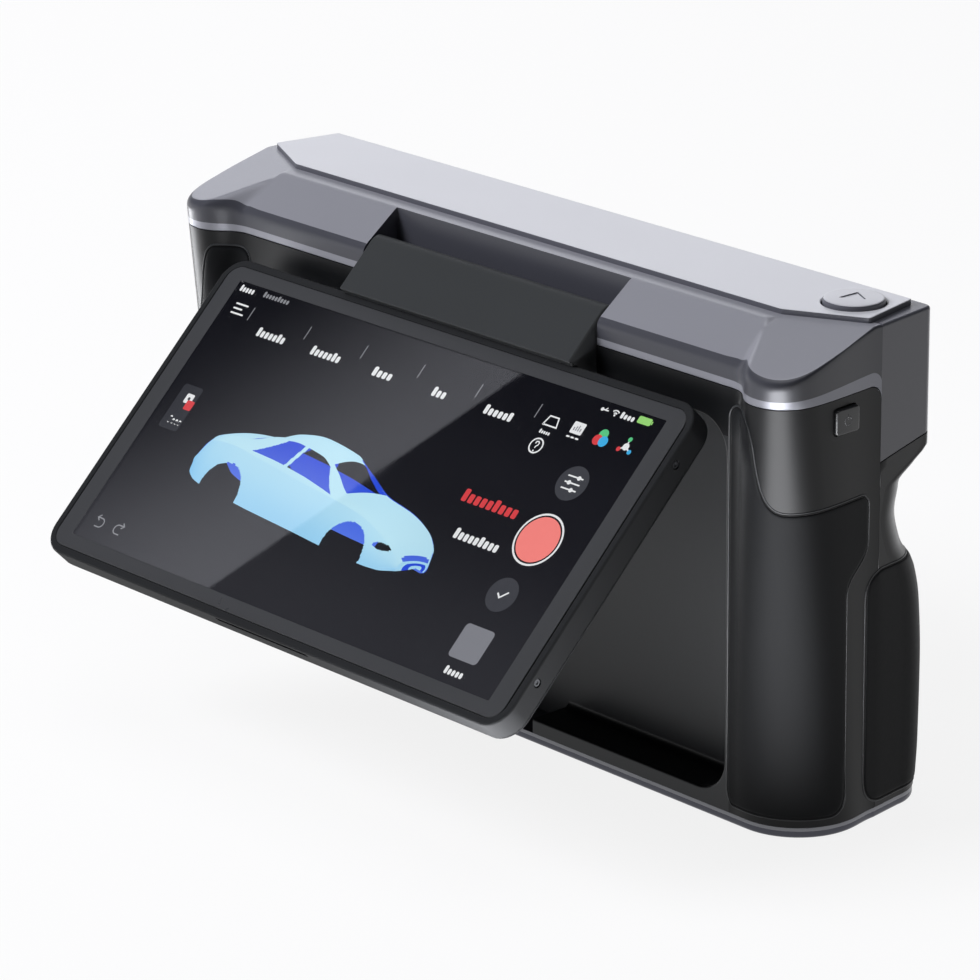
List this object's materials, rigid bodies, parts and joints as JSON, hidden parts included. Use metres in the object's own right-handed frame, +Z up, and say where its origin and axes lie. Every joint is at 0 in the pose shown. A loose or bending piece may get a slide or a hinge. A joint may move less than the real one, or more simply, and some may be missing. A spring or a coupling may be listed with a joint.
{
  "type": "handheld three-d scanner",
  "caption": "Wide handheld scanner with a flip-up touch screen on a hinge bracket, palm-swell grips, a scan button on top and camera optics behind a front window.",
  "frame": {"origin": "mouth of the tripod socket, in the middle of the base", "axes": "+X to the user's right along the body, +Y from the user towards the scanned object, +Z up"},
  "size_m": [0.1946, 0.1078, 0.11],
  "materials": {
    "black_plastic": "fine moulded texture",
    "silver_finish": "satin metallic paint",
    "grey_finish": "satin metallic paint",
    "rubber": "fine leather-like texture",
    "dark_bracket": "matt dark paint",
    "screen_plastic": "satin",
    "cover_glass": "polished",
    "display": "lit panel",
    "window_glass": "polished black",
    "lens_black": "coated glass in a black barrel",
    "lamp": "frosted",
    "steel": "turned",
    "alloy": "as cast",
    "brass": "turned",
    "board": "solder mask",
    "switch_plastic": "moulded",
    "scan_button": "satin metallic paint",
    "power_button": "satin"
  },
  "bodies": {
    "scanner_body": {"rear_housing": "black_plastic", "front_cover": "black_plastic", "top_cover": "silver_finish", "top_plate": "silver_finish", "optics_housing": "silver_finish", "base_plate": "grey_finish", "rear_grip_left": "rubber", "rear_grip_right": "rubber", "front_grip_left": "rubber", "front_grip_right": "rubber", "lens_window": "window_glass", "far_camera_left": "lens_black", "far_camera_right": "lens_black", "near_camera_left": "lens_black", "near_camera_right": "lens_black", "colour_camera": "lens_black", "far_projector": "lens_black", "near_projector": "lens_black", "fill_light_left": "lamp", "fill_light_right": "lamp", "base_screws": "steel", "usb_port": "steel", "optics_frame": "alloy", "heat_spreader": "alloy", "hinge_mount_left": "alloy", "hinge_mount_right": "alloy", "battery_pack": "alloy", "tripod_socket": "brass", "main_board": "board", "scan_switch": "switch_plastic", "power_switch": "switch_plastic", "switch_carrier": "switch_plastic"},
    "screen": {"screen_frame": "screen_plastic", "screen_back": "screen_plastic", "cover_glass": "cover_glass", "display_panel": "display", "display_driver": "board", "screen_screws": "steel", "hinge_bracket": "dark_bracket", "hinge_shaft_left": "steel", "hinge_shaft_right": "steel"},
    "scan_button": {"scan_button": "scan_button"},
    "power_button": {"power_button": "power_button"}
  },
  "joints": [
    {"name": "screen_hinge", "type": "hinge", "parent": "scanner_body", "child": "screen", "pos_m": [0, -0.0157, 0.0975], "axis": [-1, 0, 0], "range_deg": [-45.97, 134.03]},
    {"name": "scan_button_press", "type": "slide", "parent": "scanner_body", "child": "scan_button", "axis": [0, 0, -1], "range_m": [0, 0.0008], "stiffness_N_per_m": 1500, "springref_m": -0.0004},
    {"name": "power_button_press", "type": "slide", "parent": "scanner_body", "child": "power_button", "axis": [-1, 0, 0], "range_m": [0, 0.0005], "stiffness_N_per_m": 2000, "springref_m": -0.0003}
  ]
}
